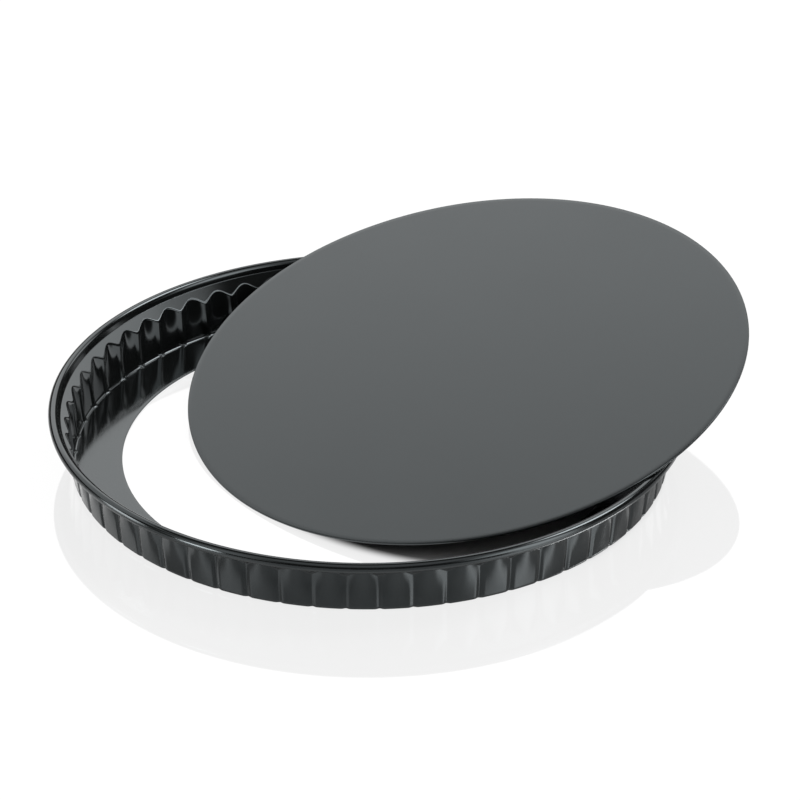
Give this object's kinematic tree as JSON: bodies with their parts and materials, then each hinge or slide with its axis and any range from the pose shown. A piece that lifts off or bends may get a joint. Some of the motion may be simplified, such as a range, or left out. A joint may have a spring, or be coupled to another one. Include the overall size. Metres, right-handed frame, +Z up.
{
  "type": "loose-bottom quiche pan",
  "caption": "Fluted round baking ring with a flared, rolled rim and an inward ledge, and a loose flat bottom plate that leans on the rim, taken out of its seat.",
  "frame": {"origin": "on the table, under the middle of the ring and the leaning plate together", "axes": "+Z up from the table, +X the way the plate rises, with the ring's axis upright at x = -0.01809 m"},
  "size_m": [0.3162, 0.28, 0.0554],
  "materials": {
    "ring_coating": "satin dark grey non-stick coating on sheet steel",
    "plate_coating": "satin dark grey non-stick coating on sheet steel"
  },
  "bodies": {
    "ring": {"fluted_ring": "ring_coating"},
    "bottom": {"loose_bottom": "plate_coating"}
  },
  "joints": [
    {"name": "bottom_lift", "type": "slide", "parent": "ring", "child": "bottom", "axis": [0, 0, 1], "range_m": [0, 0.08]}
  ]
}
